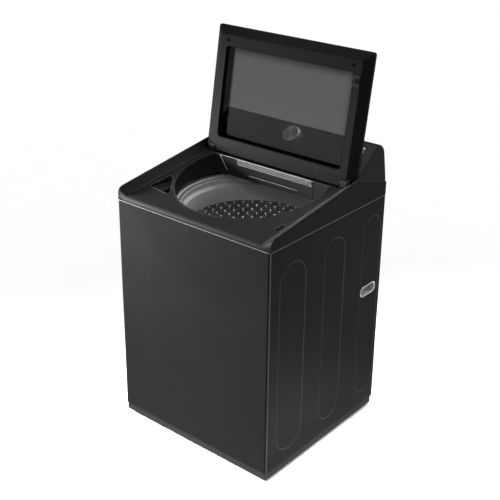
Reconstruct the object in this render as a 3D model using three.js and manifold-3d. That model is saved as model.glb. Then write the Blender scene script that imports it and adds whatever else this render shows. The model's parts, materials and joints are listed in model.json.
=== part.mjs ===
// A top-loading washing machine with its glass lid open.
// Millimetres, +Z up. The origin is on the floor under the middle of the cabinet, the front faces -Y.

import * as THREE from 'three';
import { mergeVertices } from 'three/addons/utils/BufferGeometryUtils.js';
import Module from 'manifold-3d';

const wasm = await Module();
wasm.setup();

// ---------------------------------------------------------------- driving dimensions

const GAP = 0.3; // left between pieces that touch
const HALF_X = 343; // half the cabinet's width
const HALF_Y = 329; // half the overall depth
const RAD = Math.PI / 180;

// Facets in a full turn, from the wide drum down to the smallest studs.
const WIDE = 40;
const BASIN = 48;
const MIDDLE = 24;
const SMALL = 16;
const TINY = 12;

const cabinet = {
  bottom: 42, top: 882, back: 326, sheet: 1.6, cornerRadius: 8, backRadius: 1.6,
  flange: 20, gussetLeg: 175, gussetZ: 862, gussetThickness: 2,
};
const base = { bottom: 12, inset: 4, rail: 28, wall: 2.5, web: 3, corner: 60, bossRadius: 22 };
const foot = { x: 290, y: 282, padRadius: 24, studRadius: 6, studTop: 62, holeRadius: 6.6 };

// The deck and the rails beside it lean back at the same slope.
const deck = {
  slope: Math.tan(7.86 * RAD), z0: 946, railZ0: 969.8, wall: 3,
  lipRadius: 16, lipY: -313, railFrontRadius: 36, trayFrontRadius: 34,
  slopeTopX: 339.3, slopeBottomX: 306,
};
const channel = { front: 101, back: 160, wall: 3, floor: 953, bottom: 950 };
const basin = {
  holeRadius: 278.3, backY: 98.3, collarTopRadius: 278, collarBottomRadius: 269,
  bottom: 884, kneeZ: 910, wall: 3,
};
const dispenser = {
  corners: [[-290, -221], [-188, -238], [-190, -216], [-256, -131], [-280, -120]],
  radii: [12, 12, 12, 14, 10], bottom: 886, wall: 2.4, shelfX: -236, shelfHeight: 20,
};
const inlet = {
  front: 95, back: 150, bottom: 890, rim: 960.6, boxTop: 947, radius: 262, wall: 3,
  grilleX: [-148, 187], grilleZ: [941, 957], slats: 3,
};

// The console's front plane starts at the kink on the rails and rises to a ridge.
const consoleUnit = {
  kinkY: 156, kinkZ: 991.3, slope: 38.9 * RAD, length: 144, wall: 3, face: 5.2,
  arcY: 263, arcZ: 1040, arcRadius: 42, footY: 319, footZ: 934.5, seamStartZ: 982.8,
};
const fascia = { halfX: 334, low: 5, high: 138, thickness: 2.6, ledge: 7, radius: 6 };
const knob = { along: 91, radius: 36, height: 20, stemRadius: 4, stemDepth: 17 };
const buttons = { x: 294, along: { start_button: 82, pause_button: 100, power_button: 115 }, radius: 5 };

// The lid leans back 9.2 degrees. In its own axes s runs up from its lower edge and n towards the user.
const lid = {
  edgeY: 143.3, edgeZ: 975.1, lean: 9.2 * RAD, halfX: 338.3, length: 443.6, radius: 10,
  back: -8, flat: 22, flatHalfX: 307, flatTop: 411, heel: -17,
  windowHalfX: 279, windowLow: 35, windowHigh: 372, windowRadius: 16,
  glassHalfX: 318, glassLow: 14, glassHigh: 430, glassThickness: 3.7, glassRadius: 6, wall: 3,
  bumperX: 272.5, bumperS: 393, bumperRadius: 6,
};
const hinge = {
  s: -3.6, n: 14.9, blockX: [286.3, 313.7], blockRadius: 10.5,
  earX: [[280.5, 286], [314, 319.5]], earRadius: 8, pinRadius: 4, coverX: [177, 275],
};
const latch = { x: [281.8, 304], s: [326, 360], tongueX: [285.5, 293.5], tongueS: [335, 351], reach: 44 };
const lock = {
  slotX: [283, 296], slotY: [-232, -190], depth: 32, wall: 4,
  boltX: [286.5, 292.5], boltY: [-268, -238], boltHeight: 6, boltDrop: 26,
};

// The washing unit: everything that hangs on the four rods.
const tub = {
  radius: 285, wall: 4, bottom: 196, floor: 5, top: 858, lip: 6, hole: 60,
  ringInner: 262, ringTop: 868, ringWall: 3,
};
const rod = {
  x: 265, y: 253, radius: 3.7, top: 864.3, bottom: 196, capRadius: 13,
  lugZ: 300, lugHeight: 15, lugHalfWidth: 20, lugReach: 376,
};
const spring = { bottom: 205.3, wire: 3, radius: 10.5, turns: 6 };
const drum = {
  radius: 258, wall: 2, bottom: 238, ringBottom: 772, ringTop: 860,
  ringStepZ: 832, ringTopRadius: 253, ringStepRadius: 242, ringLowRadius: 236,
};
const drive = {
  shaftRadius: 9, tubeRadius: 14.9, boreRadius: 24, housingRadius: 110, poles: 18,
  statorHole: 36, statorRadius: 124, statorZ: [136, 148], rotorRadius: 136,
};
const plate = { radius: 232, bottom: 244, rim: 256, hub: 300, fins: 4 };
const drain = { x: 230, z: 150, radius: 19, bore: 15, inside: 285 };
const gland = { x: 250, z: 800, radius: 11, bore: 5, inside: 312 };
const valve = { z: 1000, x: { hot: -250, cold: -195 }, nozzle: 13, bore: 9, bodyY: [262, 303], half: 22 };
const pump = {
  x: 185, y: -120, top: 172, bottom: 120, radius: 42, inletRadius: 24, motorRadius: 28, motorBottom: 100,
};
const grip = { y: 250, z: 533, length: 97, height: 43, depth: 24, rim: 5, wall: 2.2 };

const deckZ = (y) => deck.z0 + deck.slope * y;
const railZ = (y) => deck.railZ0 + deck.slope * y;
const seamDrop = (consoleUnit.seamStartZ - consoleUnit.footZ) / (consoleUnit.footY - consoleUnit.kinkY);
const seamZ = (y) => consoleUnit.seamStartZ - seamDrop * (y - consoleUnit.kinkY);

// ---------------------------------------------------------------- materials

const coat = (color, roughness, metalness) => (
  new THREE.MeshStandardMaterial({ color, roughness, metalness }));
const graphite = coat(0x3a3b3d, 0.38, 0.45);
const deckPlastic = coat(0x3d3d3f, 0.45, 0);
const blackPlastic = coat(0x17181a, 0.5, 0);
const lidPlastic = coat(0x3b3b3d, 0.42, 0);
const greyPlastic = coat(0x8a8c8e, 0.55, 0);
const paleGrey = coat(0x9a9c9e, 0.5, 0);
const steel = coat(0xb9bcc0, 0.3, 1);
const darkSteel = coat(0x3c3e42, 0.5, 0.8);
const zinc = coat(0x9ea2a6, 0.42, 0.9);
const rubber = coat(0x151515, 0.85, 0);
const copper = coat(0x9a5a34, 0.4, 0.8);
const boardGreen = coat(0x1f5a3a, 0.6, 0);
const tubPlastic = coat(0xc8cbcc, 0.55, 0);
const tintedGlass = new THREE.MeshStandardMaterial({
  color: 0x33363a, roughness: 0.05, metalness: 0, transparent: true, opacity: 0.45,
});

// ---------------------------------------------------------------- solids

function signedVolume(position, index) {
  const [a, b, c] = [new THREE.Vector3(), new THREE.Vector3(), new THREE.Vector3()];
  let volume = 0;
  for (let i = 0; i < index.length; i += 3) {
    a.fromBufferAttribute(position, index[i]);
    b.fromBufferAttribute(position, index[i + 1]);
    c.fromBufferAttribute(position, index[i + 2]);
    volume += a.dot(b.cross(c)) / 6;
  }
  return volume;
}

// Shared corners, no collapsed triangles, faces out.
function weld(geometry) {
  const bare = new THREE.BufferGeometry();
  bare.setAttribute('position', geometry.getAttribute('position'));
  bare.setIndex(geometry.index);
  const merged = mergeVertices(bare, 1e-4);
  const corners = merged.index.array;
  let index = [];
  for (let i = 0; i < corners.length; i += 3) {
    const [a, b, c] = corners.slice(i, i + 3);
    if (a !== b && b !== c && c !== a) index.push(a, b, c);
  }
  const position = merged.getAttribute('position');
  if (signedVolume(position, index) < 0) index = index.reverse();
  merged.setIndex(index);
  return merged;
}

function solid(geometry) {
  const welded = weld(geometry);
  const vertProperties = new Float32Array(welded.getAttribute('position').array);
  const triVerts = new Uint32Array(welded.index.array);
  return new wasm.Manifold(new wasm.Mesh({ numProp: 3, vertProperties, triVerts }));
}

function geometryOf(body) {
  const mesh = body.getMesh();
  const geometry = new THREE.BufferGeometry();
  geometry.setAttribute('position', new THREE.BufferAttribute(mesh.vertProperties, 3));
  geometry.setIndex(new THREE.BufferAttribute(mesh.triVerts, 1));
  geometry.computeVertexNormals();
  return geometry;
}

const join = (first, ...others) => others.reduce((whole, part) => whole.add(part), first);
const cut = (first, ...others) => others.reduce((whole, part) => whole.subtract(part), first);

// ---------------------------------------------------------------- shapes

const countTo = (count) => Array.from({ length: count }, (_, i) => i);
const rectangle = (x0, x1, y0, y1) => [[x0, y0], [x1, y0], [x1, y1], [x0, y1]];

function arc(cx, cy, radius, from, to, steps) {
  return countTo(steps + 1).map((i) => {
    const a = (from + ((to - from) * i) / steps) * RAD;
    return [cx + radius * Math.cos(a), cy + radius * Math.sin(a)];
  });
}

const circle = (cx, cy, radius, facets = SMALL) => arc(cx, cy, radius, 0, 360 - 360 / facets, facets - 1);

// An outline whose corners are rounded; radius is one number or one for each corner.
function rounded(points, radius, steps = 3) {
  return points.flatMap((p, i) => {
    const r = Array.isArray(radius) ? radius[i] : radius;
    if (r === 0) return [p];
    const corner = new THREE.Vector2(...p);
    const before = new THREE.Vector2(...points.at(i - 1)).sub(corner).normalize();
    const after = new THREE.Vector2(...points[(i + 1) % points.length]).sub(corner).normalize();
    const reach = r / Math.tan(Math.acos(before.dot(after)) / 2);
    const start = corner.clone().addScaledVector(before, reach);
    const end = corner.clone().addScaledVector(after, reach);
    const bend = new THREE.QuadraticBezierCurve(start, corner, end);
    return bend.getPoints(steps).map((q) => [q.x, q.y]);
  });
}

const shapeOf = (points) => new THREE.Shape(points.map(([x, y]) => new THREE.Vector2(x, y)));

// Prisms of an outline: along +Z, along +X from a (y, z) outline, along -Y from an (x, z) outline.
function prism(points, from, to) {
  const geometry = new THREE.ExtrudeGeometry(shapeOf(points), { depth: to - from, bevelEnabled: false });
  return geometry.translate(0, 0, from);
}
const axes = (x, y, z) => new THREE.Matrix4().makeBasis(
  new THREE.Vector3(...x), new THREE.Vector3(...y), new THREE.Vector3(...z));
const TO_X = axes([0, 1, 0], [0, 0, 1], [1, 0, 0]);
const TO_FRONT = axes([1, 0, 0], [0, 0, 1], [0, -1, 0]);
const upright = (points, from, to) => solid(prism(points, from, to));
const sideways = (points, from, to) => solid(prism(points, from, to).applyMatrix4(TO_X));
const frontward = (points, from, to) => solid(prism(points, from, to).applyMatrix4(TO_FRONT));
const block = (x0, x1, y0, y1, z0, z1) => upright(rectangle(x0, x1, y0, y1), z0, z1);

// Leans a solid with the deck: z rises with y.
function leaning(geometry) {
  const shear = new THREE.Matrix4().makeShear(0, 0, 0, deck.slope, 0, 0);
  return geometry.applyMatrix4(shear);
}
const onDeck = (points, from, to) => solid(leaning(prism(points, deck.z0 + from, deck.z0 + to)));

// Turned about the vertical axis through (x, y): the profile is a list of [radius, z].
function turned(profile, segments = WIDE, x = 0, y = 0) {
  const closed = profile[0][0] > 0 ? [...profile, profile[0]] : profile;
  const points = closed.map(([r, z]) => new THREE.Vector2(r, z));
  return solid(new THREE.LatheGeometry(points, segments).rotateX(Math.PI / 2).translate(x, y, 0));
}
const drilled = (radius, z0, z1, x, y, segments = TINY) => (
  turned([[0, z0], [radius, z0], [radius, z1], [0, z1]], segments, x, y));

// Joins outlines of equally many points; each slice is a [height, outline].
function loft(slices) {
  const first = slices[0][1];
  const n = first.length;
  const last = n * (slices.length - 1);
  const position = slices.flatMap(([z, outline]) => outline.flatMap(([x, y]) => [x, y, z]));
  const caps = THREE.ShapeUtils.triangulateShape(first.map(([x, y]) => new THREE.Vector2(x, y)), []);
  const index = caps.flatMap(([a, b, c]) => [a, c, b, a + last, b + last, c + last]);
  for (let start = 0; start < last; start += n) {
    for (let i = 0; i < n; i += 1) {
      const [p, q] = [start + i, start + ((i + 1) % n)];
      index.push(p, q, q + n, p, q + n, p + n);
    }
  }
  const geometry = new THREE.BufferGeometry();
  geometry.setAttribute('position', new THREE.Float32BufferAttribute(position, 3));
  geometry.setIndex(index);
  return geometry;
}

// ---------------------------------------------------------------- the model

const machine = new THREE.Group();
const lidGroup = new THREE.Group();
lidGroup.position.set(0, lid.edgeY, lid.edgeZ);
lidGroup.rotation.x = -lid.lean;
const slopeGroup = new THREE.Group();
slopeGroup.position.set(0, consoleUnit.kinkY, consoleUnit.kinkZ);
slopeGroup.rotation.x = consoleUnit.slope;
machine.add(lidGroup, slopeGroup);

function piece(name, body, material, parent = machine) {
  const mesh = new THREE.Mesh(geometryOf(body), material);
  mesh.name = name;
  parent.add(mesh);
}

const SIDES = { left: -1, right: 1 };
const CORNERS = { front_left: [-1, -1], front_right: [1, -1], rear_left: [-1, 1], rear_right: [1, 1] };
const mirrored = ([a, b], side) => (side < 0 ? [-b, -a] : [a, b]);

// ---------------------------------------------------------------- base and feet

function baseFrame() {
  const half = HALF_X - base.inset;
  const [front, back, top] = [-HALF_Y + base.inset, cabinet.back - base.inset, cabinet.bottom - GAP];
  const hole = (grow) => {
    const r = rectangle(-half + grow, half - grow, front + grow, back - grow);
    return rounded(r, base.corner, 1);
  };
  const w = base.wall;
  const groove = cut(
    block(-half + w, half - w, front + w, back - w, 0, top - base.web),
    upright(hole(base.rail - w), 0, top));
  const atFeet = (radius, z0, z1) => (
    Object.values(CORNERS).map(([i, j]) => drilled(radius, z0, z1, i * foot.x, j * foot.y)));
  const slab = block(-half, half, front, back, base.bottom, top);
  const shell = cut(slab, upright(hole(base.rail), 0, top + 1), groove);
  const bosses = atFeet(base.bossRadius, base.bottom, top);
  piece('base_frame', cut(join(shell, ...bosses), ...atFeet(foot.holeRadius, 0, top + 1)), darkSteel);
}

function feet() {
  const { padRadius: r, studRadius: s } = foot;
  const pad = [[0, 0], [r - 2, 0], [r, 2], [r - 1, 6], [s + 4, 8], [s, 8]];
  const profile = [...pad, [s, foot.studTop], [0, foot.studTop]];
  for (const [name, [i, j]] of Object.entries(CORNERS)) {
    piece(`foot_${name}`, turned(profile, SMALL, i * foot.x, j * foot.y), rubber);
  }
}

// ---------------------------------------------------------------- cabinet

function gripOutline(shrink) {
  const [l, h] = [grip.length / 2 - shrink, grip.height / 2 - shrink];
  const outline = rectangle(grip.y - l, grip.y + l, grip.z - h, grip.z + h);
  return rounded(outline, h - 0.5, 4);
}

function cabinetWrap() {
  const { sheet: t, back, cornerRadius: r, backRadius: b } = cabinet;
  const [low, high] = [cabinet.bottom, cabinet.top - GAP];
  const outer = rounded(rectangle(-HALF_X, HALF_X, -HALF_Y, back), [r, r, b, b]);
  const inner = rounded(
    rectangle(-HALF_X + t, HALF_X - t, -HALF_Y + t, back - t), [r - t, r - t, b - t, b - t]);
  const [rear, brace] = [HALF_X - cabinet.flange, cabinet.gussetZ - 12];
  const opening = block(-rear, rear, back - 10, back + 1, 0, brace);
  const gripCut = sideways(gripOutline(0), -HALF_X - 1, HALF_X + 1);
  let wrap = cut(upright(outer, low, high), upright(inner, 0, high + 1), opening, gripCut);
  for (const [i, j] of Object.values(CORNERS)) wrap = wrap.add(gusset(i, j));
  piece('cabinet_wrap', wrap, graphite);
}

// The corner plate that a suspension rod hangs from.
function gusset(i, j) {
  const { gussetLeg: leg, gussetZ: z, gussetThickness: t, sheet } = cabinet;
  const x = i * (HALF_X - sheet / 2);
  const y = j > 0 ? cabinet.back - sheet / 2 : -HALF_Y + sheet / 2;
  const inset = 12; // keeps clear of the rounded corner
  const outline = [[x, y - j * inset], [x, y - j * leg], [x - i * leg, y], [x - i * inset, y]];
  const turn = i * j > 0 ? outline : outline.reverse();
  return cut(upright(turn, z, z + t), drilled(rod.radius + 0.8, z - 1, z + t + 1, i * rod.x, j * rod.y));
}

function rearPanel() {
  const half = HALF_X - cabinet.sheet - GAP;
  const back = cabinet.back - cabinet.sheet - GAP;
  const front = back - cabinet.sheet;
  const [low, high] = [cabinet.bottom + GAP, cabinet.gussetZ - GAP];
  const port = (x, z, r) => frontward(circle(x, z, r), -back - 1, -front + 1);
  const panel = block(-half, half, front, back, low, high);
  const holes = [drain, gland].map(({ x, z, radius }) => port(x, z, radius + GAP));
  piece('rear_panel', cut(panel, ...holes), zinc);
}

// A flanged tube through the rear panel.
function rearPort(name, at, material) {
  const back = cabinet.back - cabinet.sheet - GAP;
  const flange = back - cabinet.sheet - GAP;
  const tube = (r, y0, y1) => frontward(circle(at.x, at.z, r), -y1, -y0);
  const outside = join(tube(at.radius, at.inside, HALF_Y - GAP), tube(at.radius + 6, flange - 3, flange));
  piece(name, cut(outside, tube(at.bore, at.inside - 1, HALF_Y)), material);
}

function sideGrips() {
  const [rim, w] = [grip.rim, grip.wall];
  for (const [name, side] of Object.entries(SIDES)) {
    const span = (a, b) => mirrored([HALF_X - a, HALF_X - b], side);
    const body = join(
      sideways(gripOutline(GAP), ...span(2, 0)),
      sideways(gripOutline(rim - w), ...span(grip.depth, 1)));
    const hollow = sideways(gripOutline(rim), ...span(grip.depth - w, -1));
    piece(`side_grip_${name}`, cut(body, hollow), greyPlastic);
  }
}

// ---------------------------------------------------------------- top cover

// The front lip's arc, from the seam up to the deck.
function lipArc(shrink) {
  const { lipRadius: r, lipY, slope } = deck;
  const lean = Math.atan(slope);
  return arc(lipY, deckZ(lipY) - r / Math.cos(lean), r - shrink, 180, 90 + lean / RAD, 4);
}

// The outer edge of a rail up to y: up the front, round the corner and back along the lean.
function railEdge(y, radius, steps) {
  const corners = [[-HALF_Y, cabinet.top], [-HALF_Y, railZ(-HALF_Y)], [y, railZ(y)]];
  return rounded(corners, [0, radius, 0], steps);
}

// Outline of the cover, seen from the right.
function sideProfile() {
  const { kinkY } = consoleUnit;
  const rear = [[kinkY, seamZ(kinkY) - GAP], [HALF_Y, seamZ(HALF_Y) - GAP], [HALF_Y, cabinet.top]];
  return [...railEdge(kinkY, deck.railFrontRadius, 7), ...rear].reverse();
}

// A prism that runs back along the lean, from an (x, z) outline measured from the rails' top edge.
function alongRails(section, y0, y1) {
  const outline = section.map(([x, z]) => [x, z + deck.railZ0]);
  return solid(leaning(prism(outline, -y1, -y0).applyMatrix4(TO_FRONT)));
}

// The space over the deck: its sloping sides run from the lip's edge up to the rails' edge, and past it.
function tray() {
  const { slopeTopX: a, slopeBottomX: b } = deck;
  const [end, top, past] = [channel.front + channel.wall, 1100, 1.2];
  const around = (edge, z) => {
    const [[y0, z0], [y1, z1]] = edge;
    const start = [y0 - 3 * (y1 - y0), z0 - 3 * (z1 - z0)];
    return [start, ...edge.slice(1), [end, z], [end, top], [start[0], top]];
  };
  const lip = around(lipArc(0), deckZ(end));
  const rail = around(railEdge(end, deck.trayFrontRadius, 4).slice(1, -1), railZ(end));
  const side = lip.map(([y, z], i) => [y + (rail[i][0] - y) * past, z + (rail[i][1] - z) * past]);
  const reach = b + (a - b) * past;
  return solid(loft([[-reach, side], [-b, lip], [b, lip], [reach, side]]).applyMatrix4(TO_X));
}

// The space inside the cover: under the deck, under the channel and up into the console.
function coverInside() {
  const { wall: w } = deck;
  const { front, back, bottom } = channel;
  const start = deck.lipY + 12;
  const outline = [
    [-HALF_Y + w, 800], ...lipArc(w), [start, deckZ(start) - w], [front, deckZ(front) - w], [front, bottom],
    [back, bottom], [back, 1100], [HALF_Y - w, 1100], [HALF_Y - w, 800],
  ];
  const plan = rounded(rectangle(-HALF_X + w, HALF_X - w, -HALF_Y + w, HALF_Y - w), [5, 5, 2, 2]);
  return sideways(outline.reverse(), -HALF_X, HALF_X).intersect(upright(plan, 790, 1110));
}

// The hollow in a rail, over the space under the deck.
function railHollow(side) {
  const { slopeBottomX: b, wall: w } = deck;
  const drop = deck.z0 - deck.railZ0;
  const outer = HALF_X - w - 1;
  const corners = [[b + 6, drop - w - 2], [outer, drop - w - 2], [outer, -w - 2]];
  const section = corners.map(([x, z]) => [side * x, z]);
  return alongRails(side > 0 ? section : section.reverse(), -290, 95);
}

function basinHole() {
  const { holeRadius, backY } = basin;
  return drilled(holeRadius, 860, 1000, 0, 0, BASIN).intersect(block(-300, 300, -300, backY, 850, 1000));
}

// A convex outline with every edge moved in.
function inset(points, distance) {
  return points.map((p, i) => {
    const corner = new THREE.Vector2(...p);
    const into = corner.clone().sub(new THREE.Vector2(...points.at(i - 1))).normalize();
    const out = new THREE.Vector2(...points[(i + 1) % points.length]).sub(corner).normalize();
    const reach = distance / (1 + into.dot(out));
    return [corner.x - (into.y + out.y) * reach, corner.y + (into.x + out.x) * reach];
  });
}

// The dispenser pocket's outline in the front left corner of the deck.
function pocketOutline(shrink) {
  return rounded(inset(dispenser.corners, shrink), dispenser.radii.map((r) => r - shrink), 3);
}

function topCover() {
  const r = cabinet.cornerRadius;
  const plan = rounded(rectangle(-HALF_X, HALF_X, -HALF_Y, HALF_Y), [r, r, r / 2, r / 2]);
  const whole = sideways(sideProfile(), -HALF_X, HALF_X).intersect(upright(plan, 800, 1100));
  const { front, back, wall: w, floor } = channel;
  const half = HALF_X - deck.wall;
  const heelRoom = block(-half, half, front + w, back - w, floor, 1100);
  const slot = block(...lock.slotX, ...lock.slotY, 880, 960);
  const shell = cut(whole, tray(), coverInside(), railHollow(-1), railHollow(1), heelRoom);
  piece('top_cover', cut(shell, basinHole(), onDeck(pocketOutline(0), -20, 20), slot), deckPlastic);
}

// ---------------------------------------------------------------- basin

function basinCollar() {
  const { collarTopRadius: a, collarBottomRadius: b, bottom, kneeZ, wall: w } = basin;
  const top = 975;
  const outside = [[b, bottom], [a, kneeZ], [a, top]];
  const inside = [[a - w, top], [a - w, kneeZ]];
  const cone = turned([[b - w, bottom], ...outside, ...inside], BASIN);
  const rim = sideways([[-300, deckZ(-300) + 1], [120, deckZ(120) + 1], [120, 1100], [-300, 1100]], -400, 400);
  piece('basin_collar', cut(cone, rim, block(-300, 300, inlet.front - GAP, 300, 800, 1000)), blackPlastic);
}

// Flat rear wall of the basin, backed by an open box that spreads the incoming water.
function inletHousing() {
  const { front, back, bottom, rim, boxTop, radius, wall: w, grilleX, grilleZ, slats } = inlet;
  const segment = (shrink, y0, y1, z0, z1) => drilled(radius - shrink, z0, z1, 0, 0, BASIN)
    .intersect(block(-300, 300, y0, y1, z0, z1));
  const half = basin.collarBottomRadius - 12;
  const inside = segment(w, front + w, back - w, bottom + w, boxTop + 1);
  const box = cut(segment(0, front, back, bottom, boxTop), inside);
  const wall = block(-half, half, front, front + w, bottom, rim);
  const pitch = (grilleZ[1] - grilleZ[0]) / slats;
  const slots = countTo(slats).map((i) => {
    const z = grilleZ[0] + pitch * i;
    return block(...grilleX, front - 1, front + w + 1, z + 1, z + pitch - 1.6);
  });
  piece('inlet_housing', cut(join(box, wall), ...slots), blackPlastic);
}

function dispenserWell() {
  const { bottom, wall: w, shelfX, shelfHeight } = dispenser;
  const above = sideways([[-300, deckZ(-300) + 0.5], [0, deckZ(0) + 0.5], [0, 1100], [-300, 1100]], -400, 0);
  const cup = cut(upright(pocketOutline(GAP), bottom, 960), upright(pocketOutline(w), bottom + w, 961));
  const shelf = upright(pocketOutline(w - 1), bottom + 1, bottom + shelfHeight);
  const left = block(-HALF_X, shelfX, -HALF_Y, 0, 800, 1000);
  piece('dispenser_well', cut(join(cup, shelf.intersect(left)), above), blackPlastic);
}

// ---------------------------------------------------------------- lid lock

function lidLock() {
  const { slotX, slotY, depth, wall: w, boltX, boltY, boltHeight, boltDrop } = lock;
  const under = -deck.wall - GAP;
  const outline = rectangle(slotX[0] - w, slotX[1] + w, boltY[0] - 2, slotY[1] + w);
  const pocket = onDeck(rectangle(...slotX, ...slotY), under - depth + w, 1);
  const [x0, x1] = boltX;
  const low = deckZ(-250) - boltDrop;
  const high = low + boltHeight;
  const tunnel = block(x0 - GAP, x1 + GAP, boltY[0] - 5, slotY[0] + 1, low - GAP, high + GAP);
  piece('lid_lock_housing', cut(onDeck(outline, under - depth, under), pocket, tunnel), blackPlastic);
  piece('lid_lock_bolt', block(x0, x1, ...boltY, low, high), greyPlastic);
}

// ---------------------------------------------------------------- console

const alongSlope = (s, depth = 0) => [
  consoleUnit.kinkY + s * Math.cos(consoleUnit.slope) + depth * Math.sin(consoleUnit.slope),
  consoleUnit.kinkZ + s * Math.sin(consoleUnit.slope) - depth * Math.cos(consoleUnit.slope),
];

function consoleProfile(w, face, drop) {
  const { kinkY, length, arcY, arcZ, arcRadius, footY } = consoleUnit;
  const front = kinkY + w;
  const start = alongSlope(w ? 6 : 0, face)[1];
  const slope = [alongSlope(w ? 6 : 0, face), alongSlope(length - w, face)];
  const top = arc(arcY, arcZ, arcRadius - w, 78, 5, 6);
  return [
    [front, seamZ(front) - drop], [front, w ? start - 2 : consoleUnit.kinkZ],
    ...slope, ...top, [footY - w, seamZ(footY) - drop],
  ];
}

function valvePort(x, radius, y0, y1) {
  return frontward(circle(x, valve.z, radius), -y1, -y0);
}

function fasciaOutline(shrink) {
  const { halfX, low, high, radius } = fascia;
  const outline = rectangle(-halfX + shrink, halfX - shrink, low + shrink, high - shrink);
  return rounded(outline, Math.max(radius - shrink, 2), 3);
}

function consoleHousing() {
  const { wall: w, face, slope, kinkY, kinkZ } = consoleUnit;
  const outside = sideways(consoleProfile(0, 0, 0).reverse(), -HALF_X, HALF_X);
  const inside = sideways(consoleProfile(w, face, 20).reverse(), -HALF_X + w, HALF_X - w);
  const onSlope = (geometry) => solid(geometry.rotateX(slope).translate(0, kinkY, kinkZ));
  const rebate = onSlope(prism(fasciaOutline(-GAP), -fascia.thickness - GAP, 5));
  const window = onSlope(prism(fasciaOutline(fascia.ledge), -20, 5));
  const ports = Object.values(valve.x).map((x) => valvePort(x, valve.nozzle + GAP, 300, 340));
  piece('console_housing', cut(outside, inside, rebate, window, ...ports), blackPlastic);
}

const disc = (x, s, radius, n0, n1, facets = SMALL) => upright(circle(x, s, radius, facets), n0, n1);
const knobRim = (shrink) => circle(0, knob.along, knob.radius - shrink, 32);

function controls() {
  const holes = Object.values(buttons.along).map((s) => disc(buttons.x, s, buttons.radius + GAP, -9, 9));
  const knobHole = disc(0, knob.along, knob.stemRadius + 0.4, -9, 9);
  const panel = cut(upright(fasciaOutline(0), -fascia.thickness, 0), knobHole, ...holes);
  piece('control_fascia', panel, coat(0x2a2b2d, 0.25, 0), slopeGroup);
  const body = join(
    disc(0, knob.along, knob.radius, 0.6, knob.height - 2, 32),
    solid(loft([[knob.height - 2, knobRim(0)], [knob.height, knobRim(2)]])),
    disc(0, knob.along, knob.stemRadius, -knob.stemDepth, 1));
  piece('cycle_knob', body, steel, slopeGroup);
  for (const [name, s] of Object.entries(buttons.along)) {
    piece(name, disc(buttons.x, s, buttons.radius, -fascia.thickness - 3, 0.8), paleGrey, slopeGroup);
  }
  piece('control_board', upright(rectangle(-110, 320, 30, 124), -24, -22.4), boardGreen, slopeGroup);
}

function waterValves() {
  const { z, half, bodyY, nozzle, bore } = valve;
  for (const [name, x] of Object.entries(valve.x)) {
    const body = block(x - half, x + half, ...bodyY, z - half, z + half);
    const tube = valvePort(x, nozzle, bodyY[0] + 5, HALF_Y - GAP);
    piece(`water_valve_${name}`, cut(join(body, tube), valvePort(x, bore, bodyY[1] - 20, HALF_Y)), greyPlastic);
  }
}

// ---------------------------------------------------------------- lid

const inLid = (outline, n0, n1) => frontward(outline, n0, n1);
const lidRect = (x0, x1, s0, s1, n0, n1) => inLid(rectangle(x0, x1, s0, s1), n0, n1);
const lidGlass = (shrink) => rectangle(
  -lid.glassHalfX + shrink, lid.glassHalfX - shrink, lid.glassLow + shrink, lid.glassHigh - shrink);
const lidWindow = (grow) => rectangle(
  -lid.windowHalfX - grow, lid.windowHalfX + grow, lid.windowLow - grow, lid.windowHigh + grow);

function lidFrame() {
  const outer = rounded(rectangle(-lid.halfX, lid.halfX, 0, lid.length), lid.radius);
  const front = lid.back + lid.glassThickness;
  const glassRoom = inLid(rounded(lidGlass(0), lid.glassRadius), lid.back - 1, front + GAP);
  const window = inLid(rounded(lidWindow(4), lid.windowRadius), -20, 20);
  piece('lid_frame', cut(inLid(outer, lid.back, 0), glassRoom, window), lidPlastic, lidGroup);
  const glass = rounded(lidGlass(GAP), lid.glassRadius - GAP);
  piece('lid_glass', inLid(glass, lid.back, front), tintedGlass, lidGroup);
}

// The hollow liner: a wide bevel on three sides, a flat face, the walls of the window and the hinge ears.
function lidInnerFrame() {
  const { wall: w, flat } = lid;
  const [low, rim] = [GAP, lid.halfX - 1.8];
  const edge = rounded(rectangle(-rim, rim, 0, lid.length - 2), [0, 0, 9, 9]);
  const face = rounded(rectangle(-lid.flatHalfX, lid.flatHalfX, 0, lid.flatTop), [0, 0, 9, 9]);
  const shrink = ([x, s]) => [x - Math.sign(x) * w, s < 1 ? s + w : s - w];
  const bevel = loft([[low, edge], [flat, face]]).applyMatrix4(TO_FRONT);
  const hollow = loft([[low - 1, edge.map(shrink)], [flat - w, face.map(shrink)]]).applyMatrix4(TO_FRONT);
  const window = rounded(lidWindow(0), lid.windowRadius);
  const wall = inLid(rounded(lidWindow(w), lid.windowRadius + w), low, flat);
  const shell = join(cut(solid(bevel), solid(hollow)), wall);
  const heel = lidRect(-hinge.earX[0][0], hinge.earX[0][0], lid.heel, 1, 5, flat);
  const sides = Object.values(SIDES);
  const notches = sides.map((side) => lidRect(...mirrored([hinge.earX[0][1] - 4, 318], side), -20, 9, -1, 40));
  const ears = sides.flatMap((side) => hinge.earX.map((x) => hingeEar(...mirrored(x, side))));
  const covers = sides.map((side) => inLid(hingeCoverOutline(side, -GAP), flat - 1.8, flat + 1));
  const bare = cut(join(shell, heel), inLid(window, -20, 40), ...notches);
  piece('lid_inner_frame', cut(join(bare, ...ears), pinHole(), ...covers), lidPlastic, lidGroup);
}

// A flat ear round the hinge pin, from the pin up into the liner.
function hingeEar(x0, x1) {
  const { s, n, earRadius: r } = hinge;
  const outline = [...arc(-n, s, r, 180, 360, 8), [-n + r, 12], [-n - r + 1, 12]];
  return sideways(outline, x0, x1);
}
const pinHole = () => sideways(circle(-hinge.n, hinge.s, hinge.pinRadius + 0.1), -330, 330);

function hingeCoverOutline(side, shrink) {
  const [x0, x1] = mirrored(hinge.coverX, side);
  return rectangle(x0 + shrink, x1 - shrink, lid.heel + 1 + shrink, 24 - shrink);
}

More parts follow.
